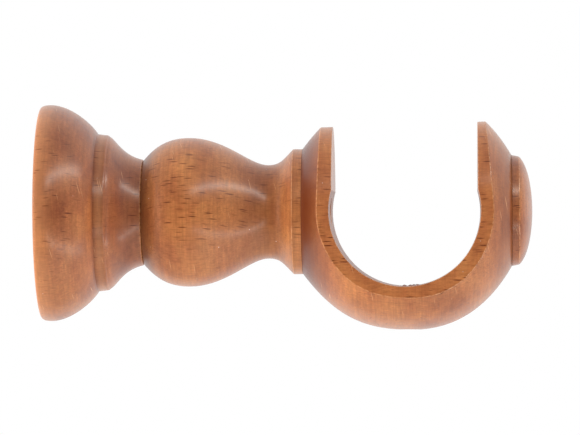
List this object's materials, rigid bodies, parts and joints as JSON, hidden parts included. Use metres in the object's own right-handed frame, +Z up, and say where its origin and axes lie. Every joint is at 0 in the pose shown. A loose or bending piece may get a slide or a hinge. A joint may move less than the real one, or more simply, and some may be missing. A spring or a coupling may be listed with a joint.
{
  "type": "curtain pole bracket",
  "caption": "Turned wooden wall bracket for a curtain pole: a bell rose, a vase stem and a ball cup open at the top.",
  "frame": {"origin": "centre of the wall plate's back, on the wall's surface", "axes": "+X out from the wall along the turned axis, +Z up towards the cup's opening, Y along the pole"},
  "size_m": [0.1719, 0.0758, 0.0793],
  "materials": {
    "stained_beech": "turned beech, mid-brown stain under a satin lacquer",
    "zinc_plated_steel": "bright zinc plate",
    "turned_brass": "machined, uncoated"
  },
  "bodies": {
    "wall_mount": {"wall_plate": "zinc_plated_steel", "mounting_stud": "zinc_plated_steel"},
    "rose": {"wall_rose": "stained_beech"},
    "arm": {"stem": "stained_beech", "threaded_insert": "turned_brass", "cup_screw": "zinc_plated_steel", "pole_cup": "stained_beech", "front_button": "stained_beech"},
    "pole_lock": {"pole_screw": "turned_brass"}
  },
  "joints": [
    {"name": "rose_slide", "type": "slide", "parent": "wall_mount", "child": "rose", "axis": [1, 0, 0], "range_m": [0, 0.0175]},
    {"name": "arm_unscrew", "type": "hinge", "parent": "rose", "child": "arm", "pos_m": [0.06, 0, 0], "axis": [1, 0, 0], "range_deg": [0, 5040]},
    {"name": "pole_screw_drive", "type": "slide", "parent": "arm", "child": "pole_lock", "axis": [0, 0, 1], "range_m": [-0.006, 0.0043]}
  ],
  "couplings": [
    {"joint": "rose_slide", "follows": "arm_unscrew", "m_per_rad": 0.00019894}
  ]
}
